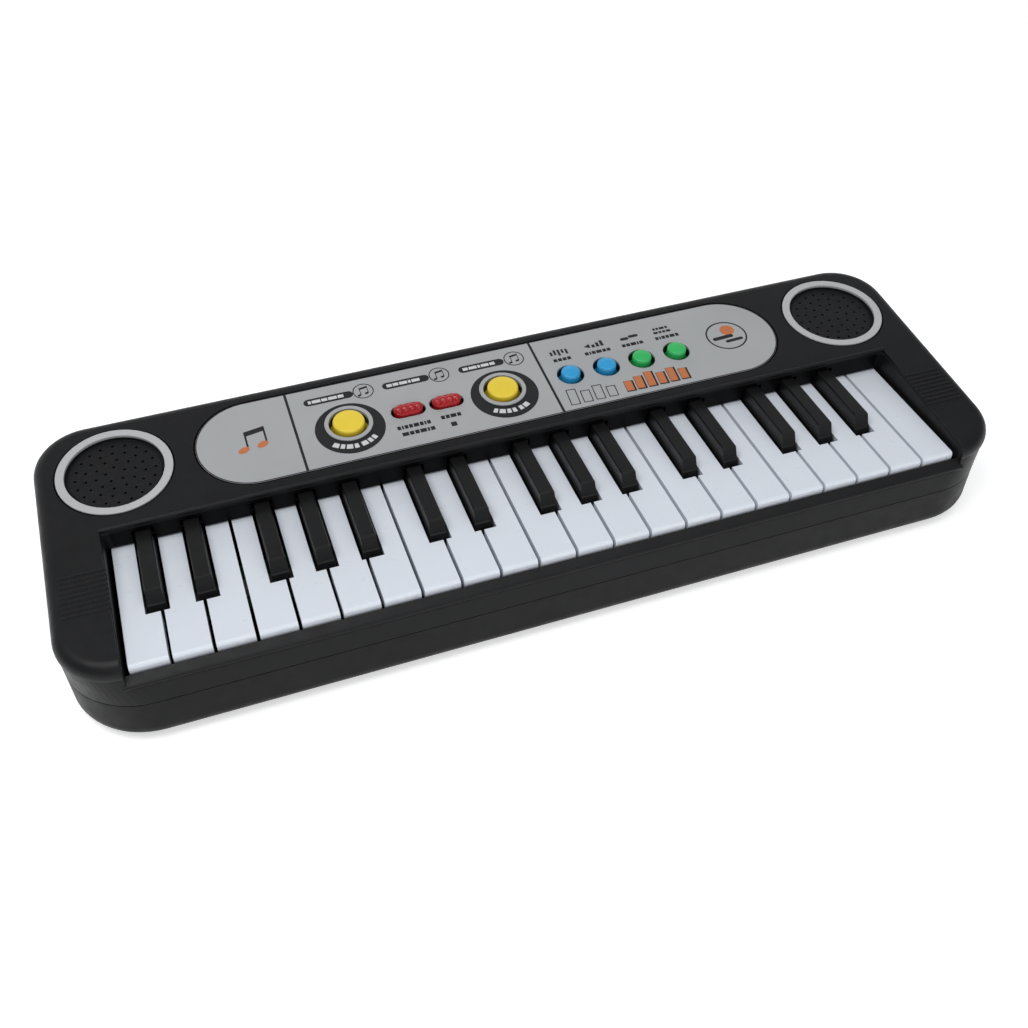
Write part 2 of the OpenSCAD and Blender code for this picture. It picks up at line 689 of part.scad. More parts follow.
module black_key(i) color("#1e1f21") {
    x = black_x(i);
    shoulder_w = black_w - 0.5;
    shoulder_h = 1;
    front_lean = 3.4;
    hollow_w = black_w - 2.6;
    difference() {
        union() {
            difference() {
                intersection() {
                    // Section across the key: wider below the shoulder, bevelled along the top
                    translate([x, ky(key_rear), key_top_z]) rotate([90, 0, 0])
                        linear_extrude(key_rear - black_front) polygon([
                            [-black_w / 2, -key_h], [black_w / 2, -key_h], [black_w / 2, shoulder_h - 0.3],
                            [shoulder_w / 2, shoulder_h], [black_top_w / 2 + 0.4, black_h - 0.7],
                            [black_top_w / 2, black_h], [-black_top_w / 2, black_h],
                            [-black_top_w / 2 - 0.4, black_h - 0.7], [-shoulder_w / 2, shoulder_h],
                            [-black_w / 2, shoulder_h - 0.3]
                        ]);
                    // Section along the key: leaning front with a small step at the shoulder
                    translate([x - black_w, ky(0), key_top_z]) rotate([90, 0, 90])
                        linear_extrude(2 * black_w) polygon([
                            [black_front, -key_h], [key_rear, -key_h], [key_rear, black_h],
                            [black_front + front_lean + 0.6, black_h],
                            [black_front + front_lean, black_h - 0.6],
                            [black_front + 1.3, shoulder_h], [black_front + 0.9, shoulder_h - 0.3],
                            [black_front, -2.4]
                        ]);
                }
                // Hollow underside
                translate([x - hollow_w / 2, ky(black_front + 2), 0])
                    cube([hollow_w, key_rear - 5 - black_front - 2, key_top_z]);
                translate([x - hollow_w / 2 + 0.7, ky(black_front + 5), 0])
                    cube([hollow_w - 1.4, key_rear - 5 - black_front - 5, key_top_z + black_h - 1.8]);
            }
            key_arm(x, black_arm_w);
            plunger(x, key_top_z + black_h - 1);
        }
        key_bore(x, black_arm_w);
    }
}

upper_case();
lower_case();
control_panel();
speaker_rings();
speakers();
main_board();
key_board();
rubber_domes();
key_pivot_rod();
batteries();
battery_contacts();
screws();
wires();
battery_door();
power_switch_knob();
yellow_button(yellow_left_x);  // yellow_button_left
yellow_button(yellow_right_x);  // yellow_button_right
red_button(red_left_x);  // red_button_left
red_button(red_right_x);  // red_button_right
for (i = [0:3]) small_button(i);
for (i = [1:white_count]) white_key(i);
for (i = [1:black_count]) black_key(i);
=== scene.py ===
import json
import math

import bmesh
import bpy
from mathutils import Matrix, Vector


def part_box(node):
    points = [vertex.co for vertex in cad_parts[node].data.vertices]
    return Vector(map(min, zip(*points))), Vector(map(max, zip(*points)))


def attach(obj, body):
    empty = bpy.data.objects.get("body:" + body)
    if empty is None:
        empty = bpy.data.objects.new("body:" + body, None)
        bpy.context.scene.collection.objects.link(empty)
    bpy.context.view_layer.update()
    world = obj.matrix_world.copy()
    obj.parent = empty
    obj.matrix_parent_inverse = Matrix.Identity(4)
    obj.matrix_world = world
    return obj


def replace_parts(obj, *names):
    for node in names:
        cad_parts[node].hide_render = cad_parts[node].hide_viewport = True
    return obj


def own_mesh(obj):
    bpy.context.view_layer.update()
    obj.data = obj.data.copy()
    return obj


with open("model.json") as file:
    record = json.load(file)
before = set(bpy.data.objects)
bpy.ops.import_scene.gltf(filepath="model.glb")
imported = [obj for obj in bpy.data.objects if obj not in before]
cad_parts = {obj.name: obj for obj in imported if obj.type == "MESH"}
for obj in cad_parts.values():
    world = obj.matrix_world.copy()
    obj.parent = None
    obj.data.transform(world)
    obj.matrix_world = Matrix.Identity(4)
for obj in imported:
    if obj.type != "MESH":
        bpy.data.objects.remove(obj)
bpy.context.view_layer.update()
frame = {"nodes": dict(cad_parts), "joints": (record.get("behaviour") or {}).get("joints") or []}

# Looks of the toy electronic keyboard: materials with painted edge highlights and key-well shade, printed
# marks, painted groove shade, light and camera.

nodes = frame["nodes"]
MM = 0.001

# ---------------------------------------------------------------- places taken from the frame

# The buttons slide square to the top plate, which gives its slope; the panel's box gives its place
joint_of = {j["child"]: j for j in frame["joints"]}
plate_down = Vector(joint_of["yellow_button_left"]["axis"]).normalized()
plate_tilt = math.atan2(plate_down.y, -plate_down.z)
panel_lo, panel_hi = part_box("control_panel")
PANEL_T = 1.2 * MM
panel_half_s = ((panel_hi.y - panel_lo.y) - PANEL_T * math.sin(plate_tilt)) / math.cos(plate_tilt) / 2
panel_middle = (0, panel_lo.y + panel_half_s * math.cos(plate_tilt),
                panel_hi.z - panel_half_s * math.sin(plate_tilt))
panel_top = Matrix.Translation(panel_middle) @ Matrix.Rotation(plate_tilt, 4, "X")

# Front edge of the top plate, over the rear wall of the key well
PANEL_FROM_EDGE = 6.9 * MM
bead_y = panel_lo.y - PANEL_FROM_EDGE * math.cos(plate_tilt)
bead_z = panel_hi.z - (2 * panel_half_s + PANEL_FROM_EDGE) * math.sin(plate_tilt)

# Places on the panel, in millimetres: u runs along the keys and v up the slope, from the panel's middle
KEY_PITCH = (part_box("white_key_02")[0].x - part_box("white_key_01")[0].x) / MM
WHITE_KEYS_TO_MIDDLE = 11
PANEL_MID_S = 31.5

# ---------------------------------------------------------------- materials

NOISE_LOW, NOISE_HIGH = 0.3, 0.7
EDGE_SOFT, EDGE_SHARP = 0.995, 0.8
BEVEL_SAMPLES = 4


class Nodes:
    """Short-hand for building a node material."""

    def __init__(self, name):
        self.mat = bpy.data.materials.new(name)
        self.mat.use_nodes = True
        self.tree = self.mat.node_tree
        self.bsdf = self.tree.nodes["Principled BSDF"]
        self.coords = self.add("ShaderNodeTexCoord").outputs["Object"]

    def add(self, kind, **values):
        node = self.tree.nodes.new(kind)
        for key, value in values.items():
            setattr(node, key, value)
        return node

    def link(self, a, b):
        self.tree.links.new(a, b)

    def noise(self, scale, detail):
        node = self.add("ShaderNodeTexNoise")
        node.inputs["Scale"].default_value = scale
        node.inputs["Detail"].default_value = detail
        self.link(self.coords, node.inputs["Vector"])
        return node.outputs["Fac"]

    def ramp(self, factor, colour_low, colour_high, low=NOISE_LOW, high=NOISE_HIGH):
        node = self.add("ShaderNodeValToRGB")
        stops = ((low, colour_low), (high, colour_high))
        for element, (position, colour) in zip(node.color_ramp.elements, stops):
            element.position = position
            element.color = (*colour, 1)
        self.link(factor, node.inputs["Fac"])
        return node.outputs["Color"]

    def spread(self, factor, low, high):
        node = self.add("ShaderNodeMapRange")
        node.inputs["From Min"].default_value = NOISE_LOW
        node.inputs["From Max"].default_value = NOISE_HIGH
        node.inputs["To Min"].default_value = low
        node.inputs["To Max"].default_value = high
        self.link(factor, node.inputs["Value"])
        return node.outputs["Result"]

    def mix(self, factor, a, b):
        node = self.add("ShaderNodeMix", data_type="RGBA")
        self.link(factor, node.inputs["Factor"])
        for value, socket in ((a, node.inputs["A"]), (b, node.inputs["B"])):
            if isinstance(value, tuple):
                socket.default_value = (*value, 1)
            else:
                self.link(value, socket)
        return node.outputs["Result"]

    def edges(self, radius):
        """Rounded normal, and a mask that is 1 along sharp edges."""
        bevel = self.add("ShaderNodeBevel", samples=BEVEL_SAMPLES)
        bevel.inputs["Radius"].default_value = radius
        geometry = self.add("ShaderNodeNewGeometry")
        dot = self.add("ShaderNodeVectorMath", operation="DOT_PRODUCT")
        self.link(bevel.outputs["Normal"], dot.inputs[0])
        self.link(geometry.outputs["Normal"], dot.inputs[1])
        mask = self.add("ShaderNodeMapRange")
        mask.inputs["From Min"].default_value = EDGE_SOFT
        mask.inputs["From Max"].default_value = EDGE_SHARP
        self.link(dot.outputs["Value"], mask.inputs["Value"])
        return bevel.outputs["Normal"], mask.outputs["Result"]

    def bump(self, height, distance, normal=None):
        node = self.add("ShaderNodeBump")
        node.inputs["Distance"].default_value = distance
        self.link(height, node.inputs["Height"])
        if normal is not None:
            self.link(normal, node.inputs["Normal"])
        return node.outputs["Normal"]


MOTTLE_SCALE, SMUDGE_SCALE = 35, 180


def moulded(name, colour, rough, grain, mottle=0.08, edge=0.4 * MM, edge_highlight=0.25, specular=0.5, coat=0.0,
            rough_spread=0.06):
    """Moulded plastic: slight mottling, a fine grain given as its scale and depth, and soft edges with a
    painted highlight that makes the colour lighter along sharp edges."""
    n = Nodes(name)
    grain_scale, grain_depth = grain
    darker = tuple(c * (1 - mottle) for c in colour)
    lighter = tuple(min(1.0, c * (1 + mottle)) for c in colour)
    # Colour of the painted highlight along the edges.
    highlight_colour = tuple(min(1.0, c * (1 + edge_highlight) + 0.02 * edge_highlight) for c in colour)
    body = n.ramp(n.noise(MOTTLE_SCALE, 4), darker, lighter)
    rounded, mask = n.edges(edge)
    # Painted highlight: lighter colour where the mask finds a sharp edge.
    n.link(n.mix(mask, body, highlight_colour), n.bsdf.inputs["Base Color"])
    smudges = n.spread(n.noise(SMUDGE_SCALE, 3), rough - rough_spread, rough + rough_spread)
    n.link(smudges, n.bsdf.inputs["Roughness"])
    n.link(n.bump(n.noise(grain_scale, 2), grain_depth, rounded), n.bsdf.inputs["Normal"])
    n.bsdf.inputs["Specular IOR Level"].default_value = specular
    n.bsdf.inputs["Coat Weight"].default_value = coat
    return n.mat


# Where the painted shade of the key well lies
WELL_BELOW_EDGE = 1.2 * MM
WELL_BEFORE_EDGE = 4 * MM
WELL_BEHIND_EDGE = 20 * MM
WELL_PAST_LAST_KEY = 25 * MM
WELL_FADE = 0.5 * MM
WELL_SHADE_COLOUR = (0.0022, 0.0022, 0.0025, 1)
WELL_SHADE_SPECULAR = 0.06


def paint_well_shade(material):
    """Painted shade: near-black colour and a low specular level on the rear wall of the key well, below the
    front edge of the top plate, where the wall lies in shade.
    """
    tree = material.node_tree
    bsdf = tree.nodes["Principled BSDF"]
    split = tree.nodes.new("ShaderNodeSeparateXYZ")
    coords = next(node for node in tree.nodes if node.type == "TEX_COORD")
    tree.links.new(coords.outputs["Object"], split.inputs["Vector"])

    def above(socket, edge):
        node = tree.nodes.new("ShaderNodeMapRange")
        node.inputs["From Min"].default_value = edge - WELL_FADE
        node.inputs["From Max"].default_value = edge + WELL_FADE
        tree.links.new(split.outputs[socket], node.inputs["Value"])
        return node

    def below(socket, edge):
        node = above(socket, edge)
        node.inputs["To Min"].default_value = 1.0
        node.inputs["To Max"].default_value = 0.0
        return node

    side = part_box("black_key_15")[1].x + WELL_PAST_LAST_KEY
    limits = (below("Z", bead_z - WELL_BELOW_EDGE), above("Y", bead_y - WELL_BEFORE_EDGE),
              below("Y", bead_y + WELL_BEHIND_EDGE), below("X", side), above("X", -side))
    mask = limits[0].outputs["Result"]
    for limit in limits[1:]:
        both = tree.nodes.new("ShaderNodeMath")
        both.operation = "MULTIPLY"
        tree.links.new(mask, both.inputs[0])
        tree.links.new(limit.outputs["Result"], both.inputs[1])
        mask = both.outputs["Value"]
    # Painted shade: inside the mask the colour goes to near-black and the specular level drops.
    old = bsdf.inputs["Base Color"].links[0].from_socket
    blend = tree.nodes.new("ShaderNodeMix")
    blend.data_type = "RGBA"
    tree.links.new(mask, blend.inputs["Factor"])
    tree.links.new(old, blend.inputs["A"])
    blend.inputs["B"].default_value = WELL_SHADE_COLOUR
    tree.links.new(blend.outputs["Result"], bsdf.inputs["Base Color"])
    gloss = tree.nodes.new("ShaderNodeMapRange")
    gloss.inputs["To Min"].default_value = bsdf.inputs["Specular IOR Level"].default_value
    gloss.inputs["To Max"].default_value = WELL_SHADE_SPECULAR
    tree.links.new(mask, gloss.inputs["Value"])
    tree.links.new(gloss.outputs["Result"], bsdf.inputs["Specular IOR Level"])


CASE_BLACK = moulded("case_plastic", (0.0082, 0.0084, 0.0091), 0.42, grain=(2600, 0.05 * MM), mottle=0.12,
                     specular=0.19)
# Painted shade on the rear wall of the key well.
paint_well_shade(CASE_BLACK)
# Painted shade: the lower case and battery door take a darker copy of the case plastic, which offsets the
# light the pale floor throws up on them.
LOWER_SHADED_BLACK = moulded("lower_case_shaded_plastic", (0.0066, 0.0067, 0.0072), 0.45, grain=(2600, 0.05 * MM),
                      mottle=0.12, specular=0.12)
SILVER = moulded("panel_silver", (0.37, 0.38, 0.385), 0.38, grain=(7000, 0.01 * MM), mottle=0.03, edge_highlight=0.2)
RING_SILVER = moulded("ring_silver", (0.46, 0.465, 0.47), 0.34, grain=(7000, 0.01 * MM), mottle=0.03,
                      edge_highlight=0.2)
WHITE_KEY = moulded("white_key_plastic", (0.70, 0.74, 0.80), 0.30, grain=(1500, 0.01 * MM), mottle=0.012,
                    edge=0.3 * MM, edge_highlight=0.1, coat=0.1, rough_spread=0.03)
# The black keys carry a strong painted highlight along their edges.
BLACK_KEY = moulded("black_key_plastic", (0.0065, 0.0065, 0.0068), 0.36, grain=(3000, 0.02 * MM), mottle=0.1,
                    edge=0.3 * MM, edge_highlight=0.8, specular=0.22)
YELLOW = moulded("yellow_plastic", (0.80, 0.60, 0.045), 0.34, grain=(2500, 0.01 * MM), mottle=0.04, edge_highlight=0.1)
RED = moulded("red_plastic", (0.38, 0.010, 0.014), 0.2, grain=(2500, 0.01 * MM), mottle=0.06, edge_highlight=0.3)
BLUE = moulded("blue_plastic", (0.03, 0.33, 0.64), 0.26, grain=(2500, 0.01 * MM), mottle=0.05, edge_highlight=0.2)
GREEN = moulded("green_plastic", (0.035, 0.47, 0.12), 0.26, grain=(2500, 0.01 * MM), mottle=0.05, edge_highlight=0.2)
BOARD = moulded("board_resin", (0.03, 0.13, 0.06), 0.4, grain=(900, 0.02 * MM))
RUBBER = moulded("dome_rubber", (0.28, 0.29, 0.30), 0.7, grain=(2000, 0.03 * MM))
STEEL = moulded("drawn_steel", (0.55, 0.56, 0.57), 0.3, grain=(4000, 0.01 * MM))
OILED_STEEL = moulded("oiled_steel", (0.05, 0.05, 0.052), 0.5, grain=(4000, 0.01 * MM), specular=0.2)
for metal in (STEEL, OILED_STEEL):
    metal.node_tree.nodes["Principled BSDF"].inputs["Metallic"].default_value = 1.0
CONE = moulded("speaker_cone", (0.03, 0.03, 0.033), 0.6, grain=(1500, 0.05 * MM))
CELL = moulded("cell_jacket", (0.42, 0.18, 0.05), 0.35, grain=(3000, 0.01 * MM))
WIRE = moulded("wire_jacket", (0.25, 0.02, 0.02), 0.5, grain=(3000, 0.02 * MM))


def paint(material, *names):
    for name in names:
        slots = nodes[name].data.materials
        for i in range(len(slots)):
            slots[i] = material


white_keys = sorted(n for n in nodes if n.startswith("white_key_"))
black_keys = sorted(n for n in nodes if n.startswith("black_key_"))
paint(CASE_BLACK, "upper_case", "power_switch_knob")
paint(LOWER_SHADED_BLACK, "lower_case", "battery_door")
paint(SILVER, "control_panel")
paint(RING_SILVER, "speaker_rings")
paint(WHITE_KEY, *white_keys)
paint(BLACK_KEY, *black_keys)
paint(YELLOW, "yellow_button_left", "yellow_button_right")
paint(RED, "red_button_left", "red_button_right")
paint(BLUE, "blue_button_left", "blue_button_right")
paint(GREEN, "green_button_left", "green_button_right")
paint(BOARD, "main_board", "key_board")
paint(RUBBER, "rubber_domes")
paint(STEEL, "screws", "battery_contacts")
paint(OILED_STEEL, "key_pivot_rod")
paint(CONE, "speakers")
paint(CELL, "batteries")
paint(WIRE, "wires")

# ---------------------------------------------------------------- rubber domes under the keys and buttons

DOME_R = 2.6 * MM
DOME_CROWN_R = 2.1 * MM
DOME_GAP = 0.1 * MM
KEY_DOME_H = 4.5 * MM
BUTTON_DOME_H = 2.7 * MM
KEY_PEG_END = 29 * MM
STRIP_T = 0.8 * MM
STRIP_OVERLAP = 0.1 * MM
STRIP_PAST_DOME = 4 * MM
KEY_STRIP_HALF_W = 4.5 * MM
BUTTON_STRIP_HALF_W = 5.5 * MM
DOME_SIDES = 24
SAME_HEIGHT = 0.05 * MM


def circle(u, v, radius, flat=1.0, count=48):
    """Points of a circle, or of an oval whose height is flat times its width."""
    steps = (2 * math.pi * k / count for k in range(count))
    return [(u + radius * math.cos(a), v + radius * flat * math.sin(a)) for a in steps]


def wall(bm, a, b):
    """Faces between two closed loops with the same number of points."""
    for k in range(len(a)):
        j = (k + 1) % len(a)
        bm.faces.new((a[k], a[j], b[j], b[k]))


def case_piece(name, bm, material):
    """A mesh that stays with the case."""
    bmesh.ops.recalc_face_normals(bm, faces=bm.faces)
    mesh = bpy.data.meshes.new(name)
    bm.to_mesh(mesh)
    bm.free()
    mesh.materials.append(material)
    piece = bpy.data.objects.new(name, mesh)
    bpy.context.scene.collection.objects.link(piece)
    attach(piece, "case")
    return piece


def peg_end(node, travel, height=None):
    """Middle of the end of the peg under a key or a button: at height, or where the node is lowest. The z of
    the frame travel points against the press."""
    to_frame = travel.inverted() @ nodes[node].matrix_world
    points = [to_frame @ v.co for v in nodes[node].data.vertices]
    height = min(q.z for q in points) if height is None else height
    end = [q for q in points if abs(q.z - height) < SAME_HEIGHT]
    return Vector(((min(q.x for q in end) + max(q.x for q in end)) / 2,
                   (min(q.y for q in end) + max(q.y for q in end)) / 2, height))


def dome(node, travel, end, height):
    """Closed dome just under a peg."""
    foot = end - Vector((0, 0, DOME_GAP + height))
    rings = ((DOME_R, -STRIP_OVERLAP), (DOME_R, 0.45 * height), (0.96 * DOME_R, 0.75 * height),
             (DOME_CROWN_R, height))
    bm = bmesh.new()
    loops = [[bm.verts.new(travel @ (foot + Vector((x, y, z)))) for x, y in circle(0, 0, r, count=DOME_SIDES)]
             for r, z in rings]
    for a, b in zip(loops, loops[1:]):
        wall(bm, a, b)
    bm.faces.new(loops[0][::-1])
    bm.faces.new(loops[-1])
    piece = case_piece("dome_of_" + node, bm, RUBBER)
    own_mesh(piece)


def strip(bm, travel, ends, dome_height, half_width):
    """The flat strip that a row of domes stands on."""
    top = min(e.z for e in ends) - DOME_GAP - dome_height
    middle = (min(e.y for e in ends) + max(e.y for e in ends)) / 2
    x0 = min(e.x for e in ends) - STRIP_PAST_DOME
    x1 = max(e.x for e in ends) + STRIP_PAST_DOME
    outline = ((x0, middle - half_width), (x1, middle - half_width), (x1, middle + half_width),
               (x0, middle + half_width))
    low, high = [[bm.verts.new(travel @ Vector((x, y, z))) for x, y in outline] for z in (top - STRIP_T, top)]
    bm.faces.new(low[::-1])
    bm.faces.new(high)
    wall(bm, low, high)


def rubber_mats():
    """A dome under every key and button, and a strip under each of the two rows."""
    upright = Matrix.Identity(4)
    buttons = sorted(n for n in nodes if "_button_" in n)
    strips = bmesh.new()
    for names, travel, peg_height, dome_height, half_width in (
            (white_keys + black_keys, upright, KEY_PEG_END, KEY_DOME_H, KEY_STRIP_HALF_W),
            (buttons, panel_top, None, BUTTON_DOME_H, BUTTON_STRIP_HALF_W)):
        ends = [peg_end(name, travel, peg_height) for name in names]
        for name, end in zip(names, ends):
            dome(name, travel, end, dome_height)
        strip(strips, travel, ends, dome_height, half_width)
    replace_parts(case_piece("dome_strips", strips, RUBBER), "rubber_domes")


rubber_mats()

# ---------------------------------------------------------------- printed marks and painted groove shade of the control panel


def bar(u, v, half_length, half_width, lean=0.0, round_ends=False, steps=8):
    """Points of a bar about (u, v), turned by lean radians."""
    if round_ends:
        straight = half_length - half_width
        ends = [(side * straight + half_width * math.cos(a + turn), half_width * math.sin(a + turn))
                for side, turn in ((1, -math.pi / 2), (-1, math.pi / 2))
                for a in (math.pi * k / steps for k in range(steps + 1))]
    else:
        ends = [(-half_length, -half_width), (half_length, -half_width), (half_length, half_width),
                (-half_length, half_width)]
    c, s = math.cos(lean), math.sin(lean)
    return [(u + x * c - y * s, v + x * s + y * c) for x, y in ends]


def arc_bar(u, v, radius, half_width, start, end, count=6):
    """Points of a bar bent along a circle about (u, v)."""
    angles = [start + (end - start) * k / count for k in range(count + 1)]
    inner, outer = [[(u + r * math.cos(a), v + r * math.sin(a)) for a in angles]
                    for r in (radius - half_width, radius + half_width)]
    return outer + inner[::-1]


def on_panel(bm, outline, height):
    """Vertices of an outline at a height above the panel, in millimetres."""
    return [bm.verts.new(panel_top @ Vector((u * MM, v * MM, height * MM))) for u, v in outline]


def prism(bm, outline, low, high):
    """Closed plate over one outline."""
    bottom, top = [on_panel(bm, outline, height) for height in (low, high)]
    bm.faces.new(bottom[::-1])
    bm.faces.new(top)
    wall(bm, bottom, top)


def band(bm, outer, inner, low, high):
    """Closed ring between two outlines with the same number of points."""
    loops = [on_panel(bm, outline, height)
             for outline, height in ((outer, low), (outer, high), (inner, high), (inner, low))]
    for a, b in zip(loops, loops[1:] + loops[:1]):
        wall(bm, a, b)


SUNK, INK_T = -0.05, 0.03
OVER_INK = {"low": 0.01, "high": 0.05}


def print_marks(name, material, plates=(), bands=(), low=SUNK, high=INK_T):
    """One printed colour or one painted shade: thin plates whose lower side is sunk into the panel or into
    the ink below.
    """
    bm = bmesh.new()
    for outline in plates:
        prism(bm, outline, low, high)
    for outer, inner in bands:
        band(bm, outer, inner, low, high)
    case_piece(name, bm, material)


def note(u, v, size):
    """A pair of notes joined by a beam: the two heads, then stems and beam as one outline."""
    turns = [2 * math.pi * k / 24 for k in range(24)]
    leaning_oval = [(0.24 * math.cos(a), 0.17 * math.sin(a) + 0.06 * math.cos(a)) for a in turns]
    heads = [[(u + (dx + x) * size, v + (dy + y) * size) for x, y in leaning_oval]
             for dx, dy in ((-0.42, -0.5), (0.38, -0.38))]
    stems = [(-0.28, -0.46), (-0.20, -0.46), (-0.20, 0.26), (0.52, 0.38), (0.52, -0.34), (0.60, -0.34),
             (0.60, 0.66), (-0.28, 0.52)]
    return heads, [[(u + x * size, v + y * size) for x, y in stems]]


CAPTION_GAP = 0.45


def caption(u, v, half_length, half_width, parts):
    """A row of short bars that stands where a word would be; parts are the lengths of the bars."""
    unit = (2 * half_length - CAPTION_GAP * (len(parts) - 1)) / sum(parts)
    bars = []
    left = u - half_length
    for part in parts:
        bars.append(bar(left + part * unit / 2, v, part * unit / 2, half_width))
        left += part * unit + CAPTION_GAP
    return bars


def panel_point(n, s):
    """Place on the panel: n counts white keys from the left, s counts key widths up the slope."""
    return (n - WHITE_KEYS_TO_MIDDLE) * KEY_PITCH, s * KEY_PITCH - PANEL_MID_S


def button_point(node):
    """Place of a button on the panel."""
    lo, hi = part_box(node)
    inside = panel_top.inverted() @ ((lo + hi) / 2)
    return inside.x / MM, inside.y / MM


DISC_R = 15.5
DISC_DROP = 3.14
RING_R = 10.7
DASH_R = 14.4
DASH_HALF_W = 1.3
DASH_STEP, DASH_GAP = 0.064, 0.05


def yellow_discs():
    """Black disc round each yellow button, set lower than it, with pale dashes along its lower arc."""
    discs, dashes = [], []
    for node, lengths in (("yellow_button_left", (3, 2, 3, 2, 0, 3, 2, 2)),
                          ("yellow_button_right", (2, 3, 2, 2, 0, 2, 3))):
        u, v = button_point(node)
        discs.append((circle(u, v - DISC_DROP, DISC_R, count=96), circle(u, v, RING_R, count=96)))
        span = sum(lengths) * DASH_STEP + DASH_GAP * (len(lengths) - 1)
        angle = -math.pi / 2 - span / 2
        for length in lengths:
            if length:
                dashes.append(arc_bar(u, v, DASH_R, DASH_HALF_W, angle, angle + length * DASH_STEP))
            angle += length * DASH_STEP + DASH_GAP
    print_marks("disc_print", INK_BLACK, bands=discs)
    print_marks("disc_dashes", INK_PALE, plates=dashes, **OVER_INK)


def left_mark():
    """A pair of joined notes as the ornament of the left field."""
    u, v = panel_point(4.06, 1.98)
    heads, stems = note(u, v, 10.5)
    print_marks("ornament_heads", INK_ORANGE, plates=heads, high=0.045)
    print_marks("ornament_stems", INK_BLACK, plates=stems)


STRIP_S, ICON_S = 2.89, 2.9
STRIP_HALF_W = 2.15
ICON_R, ICON_LINE = 4.8, 0.5


def label_strips():
    """Pill-shaped strips with pale dashes, each ending in a ringed icon."""
    strips, dashes, rings, icons = [], [], [], []
    for n0, n1, icon_n, parts in ((5.64, 7.02, 7.31, (1, 3, 2, 3, 2)), (7.85, 9.19, 9.49, (2, 2, 3, 1, 3)),
                                  (10.06, 11.40, 11.71, (2, 3, 1, 3, 2))):
        u0, v = panel_point(n0, STRIP_S)
        u1, _ = panel_point(n1, STRIP_S)
        middle, half_length = (u0 + u1) / 2, (u1 - u0) / 2
        strips.append(bar(middle, v, half_length, STRIP_HALF_W, round_ends=True))
        dashes += caption(middle - 1.2, v, half_length - 3.2, 0.95, parts)
        u, v = panel_point(icon_n, ICON_S)
        rings.append((circle(u, v, ICON_R), circle(u, v, ICON_R - ICON_LINE)))
        _, stems = note(u - 0.4, v, 4.4)
        icons += stems
        icons += [bar(head_u, head_v, 0.95, 0.6, 0.3, True)
                  for head_u, head_v in ((u - 2.2, v - 2.3), (u + 1.25, v - 1.75))]
    print_marks("label_strips", INK_BLACK, plates=strips)
    print_marks("label_dashes", INK_PALE, plates=dashes, **OVER_INK)
    print_marks("label_rings", INK_BLACK, bands=rings)
    print_marks("label_icons", INK_BLACK, plates=icons)


def red_captions():
    """Rows of bars below the red buttons, and one square under the right-hand row."""
    marks = []
    for n, s, drop, half_length, parts in ((8.28, 1.2, 0, 7.6, (2, 1, 2, 2, 3, 2, 1, 2)),
                                           (8.34, 0.965, 0.4, 7.4, (3, 2, 2, 3, 1, 2)),
                                           (9.33, 1.24, 0, 4.6, (2, 2, 3, 2))):
        u, v = panel_point(n, s)
        marks += caption(u, v - drop, half_length, 1.1, parts)
    u, v = panel_point(9.32, 0.92)
    marks.append(bar(u, v, 1.3, 1.3))
    print_marks("red_captions", INK_BLACK, plates=marks)


CAPTION_ABOVE, ICON_ABOVE = 10.6, 15.4


def small_captions():
    """Icons and short captions above the blue and green buttons."""
    marks = []
    rows = (("blue_button_left", 4.3, (2, 2, 2, 2)), ("blue_button_right", 6.4, (2, 1, 2, 3, 2, 2)),
            ("green_button_left", 5.4, (2, 2, 3, 1, 2)), ("green_button_right", 6.0, (2, 1, 2, 2, 3, 2)))
    for index, (node, half_length, parts) in enumerate(rows):
        u, v = button_point(node)
        marks += caption(u, v + CAPTION_ABOVE, half_length, 1.0, parts)
        v += ICON_ABOVE
        if index == 0:
            marks += [bar(u - 3.8 + 1.9 * k, v + (k % 2) * 0.6, 0.55, 1.3 + 0.4 * (k % 3)) for k in range(5)]
        elif index == 1:
            marks.append([(u - 5.2, v), (u - 2.2, v - 1.5), (u - 2.2, v + 1.5)])
            marks += [bar(u - 0.6 + 2.2 * k, v - 0.5 + 0.45 * k, 0.75, 1.0 + 0.45 * k) for k in range(3)]
        elif index == 2:
            marks += [bar(u - 2.4, v - 0.3, 2.2, 0.9, round_ends=True),
                      bar(u + 2.4, v + 0.5, 2.5, 0.9, round_ends=True)]
        else:
            marks += caption(u - 0.9, v - 0.9, 4.4, 0.75, (3, 2, 2, 3))
            marks += caption(u - 0.9, v + 1.7, 3.8, 0.75, (1, 1, 2, 1))
    print_marks("small_captions", INK_BLACK, plates=marks)


ORNAMENT_S = 0.6
ORNAMENT_HALF_H = 5.1
ORNAMENT_LEAN = math.pi / 2 - 0.08


def lower_ornament():
    """Leaning bars of changing height along the front of the right field: four outlines, then six orange."""
    outlines, fills, orange = [], [], []
    for k, tall in enumerate((1.0, 0.76, 0.92, 0.68)):
        u, v = panel_point(12.76 + 0.375 * k, ORNAMENT_S)
        half = ORNAMENT_HALF_H * tall
        outlines.append((bar(u, v + half, half, 2.3, ORNAMENT_LEAN),
                         bar(u, v + half, half - 0.45, 1.85, ORNAMENT_LEAN)))
    for k, tall in enumerate((0.7, 0.86, 1.0, 0.8, 0.94, 0.74)):
        u, v = panel_point(14.42 + 0.335 * k, ORNAMENT_S + 0.04)
        half = ORNAMENT_HALF_H * tall
        fills.append(bar(u + 0.3, v + half - 0.3, half, 2.35, ORNAMENT_LEAN))
        orange.append(bar(u, v + half, half - 0.4, 1.8, ORNAMENT_LEAN))
    print_marks("ornament_outlines", INK_BLACK, bands=outlines)
    print_marks("ornament_shadows", INK_BLACK, plates=fills)
    print_marks("ornament_bars", INK_ORANGE, plates=orange, **OVER_INK)


